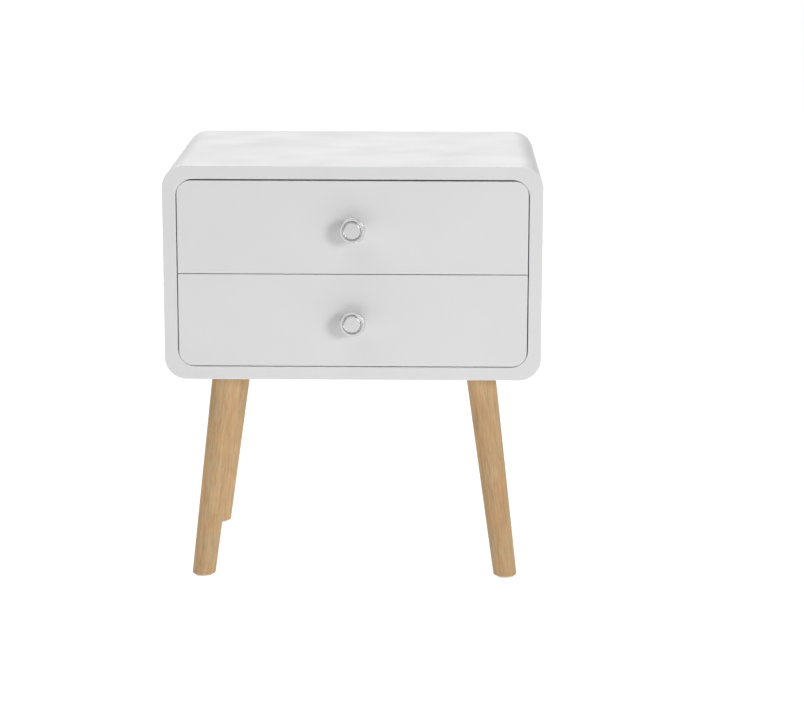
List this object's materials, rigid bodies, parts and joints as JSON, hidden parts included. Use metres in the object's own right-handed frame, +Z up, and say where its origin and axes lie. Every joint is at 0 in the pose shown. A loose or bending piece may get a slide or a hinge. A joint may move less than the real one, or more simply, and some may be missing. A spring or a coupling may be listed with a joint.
{
  "type": "nightstand",
  "caption": "Bedside cabinet with a round-cornered white wrap, flush drawers with ring knobs on telescopic runners, and splayed tapered round wooden legs.",
  "frame": {"origin": "on the floor, under the middle of the box that holds the whole object, knobs included", "axes": "+X to the right as seen from the front, +Y towards the back, +Z up; the drawers open towards -Y"},
  "size_m": [0.48, 0.375, 0.55],
  "materials": {
    "white_lacquer": "sprayed white satin lacquer on fibreboard",
    "white_board": "white foil-faced board",
    "oiled_oak": "pale oak, clear matt oil",
    "satin_chrome": "polished and plated",
    "zinc_steel": "bright zinc plate",
    "pale_nylon": "moulded nylon"
  },
  "bodies": {
    "cabinet": {"back_panel": "white_board", "back_screw_bottom_left": "zinc_steel", "back_screw_bottom_right": "zinc_steel", "back_screw_left": "zinc_steel", "back_screw_right": "zinc_steel", "back_screw_top_left": "zinc_steel", "back_screw_top_right": "zinc_steel", "bottom_panel": "white_lacquer", "corner_bottom_left": "white_lacquer", "corner_bottom_right": "white_lacquer", "corner_top_left": "white_lacquer", "corner_top_right": "white_lacquer", "glide_back_left": "pale_nylon", "glide_back_right": "pale_nylon", "glide_front_left": "pale_nylon", "glide_front_right": "pale_nylon", "hanger_bolt_back_left": "zinc_steel", "hanger_bolt_back_right": "zinc_steel", "hanger_bolt_front_left": "zinc_steel", "hanger_bolt_front_right": "zinc_steel", "left_side_panel": "white_lacquer", "leg_back_left": "oiled_oak", "leg_back_right": "oiled_oak", "leg_front_left": "oiled_oak", "leg_front_right": "oiled_oak", "leg_plate_back_left": "zinc_steel", "leg_plate_back_right": "zinc_steel", "leg_plate_front_left": "zinc_steel", "leg_plate_front_right": "zinc_steel", "lower_left_cabinet_runner": "zinc_steel", "lower_right_cabinet_runner": "zinc_steel", "right_side_panel": "white_lacquer", "top_panel": "white_lacquer", "upper_left_cabinet_runner": "zinc_steel", "upper_right_cabinet_runner": "zinc_steel"},
    "lower_drawer": {"lower_drawer_back": "white_board", "lower_drawer_bottom": "white_board", "lower_drawer_front": "white_lacquer", "lower_drawer_left_side": "white_board", "lower_drawer_right_side": "white_board", "lower_knob": "satin_chrome", "lower_knob_screw": "zinc_steel", "lower_left_drawer_runner": "zinc_steel", "lower_right_drawer_runner": "zinc_steel"},
    "lower_left_runner_middle": {"lower_left_middle_runner": "zinc_steel"},
    "lower_right_runner_middle": {"lower_right_middle_runner": "zinc_steel"},
    "upper_drawer": {"upper_drawer_back": "white_board", "upper_drawer_bottom": "white_board", "upper_drawer_front": "white_lacquer", "upper_drawer_left_side": "white_board", "upper_drawer_right_side": "white_board", "upper_knob": "satin_chrome", "upper_knob_screw": "zinc_steel", "upper_left_drawer_runner": "zinc_steel", "upper_right_drawer_runner": "zinc_steel"},
    "upper_left_runner_middle": {"upper_left_middle_runner": "zinc_steel"},
    "upper_right_runner_middle": {"upper_right_middle_runner": "zinc_steel"}
  },
  "joints": [
    {"name": "lower_drawer_slide", "type": "slide", "parent": "cabinet", "child": "lower_drawer", "axis": [0, -1, 0], "range_m": [0, 0.3]},
    {"name": "lower_left_runner_slide", "type": "slide", "parent": "cabinet", "child": "lower_left_runner_middle", "axis": [0, -1, 0], "range_m": [0, 0.15]},
    {"name": "lower_right_runner_slide", "type": "slide", "parent": "cabinet", "child": "lower_right_runner_middle", "axis": [0, -1, 0], "range_m": [0, 0.15]},
    {"name": "upper_drawer_slide", "type": "slide", "parent": "cabinet", "child": "upper_drawer", "axis": [0, -1, 0], "range_m": [0, 0.3]},
    {"name": "upper_left_runner_slide", "type": "slide", "parent": "cabinet", "child": "upper_left_runner_middle", "axis": [0, -1, 0], "range_m": [0, 0.15]},
    {"name": "upper_right_runner_slide", "type": "slide", "parent": "cabinet", "child": "upper_right_runner_middle", "axis": [0, -1, 0], "range_m": [0, 0.15]}
  ],
  "couplings": [
    {"joint": "lower_left_runner_slide", "follows": "lower_drawer_slide", "ratio": 0.5},
    {"joint": "lower_right_runner_slide", "follows": "lower_drawer_slide", "ratio": 0.5},
    {"joint": "upper_left_runner_slide", "follows": "upper_drawer_slide", "ratio": 0.5},
    {"joint": "upper_right_runner_slide", "follows": "upper_drawer_slide", "ratio": 0.5}
  ]
}
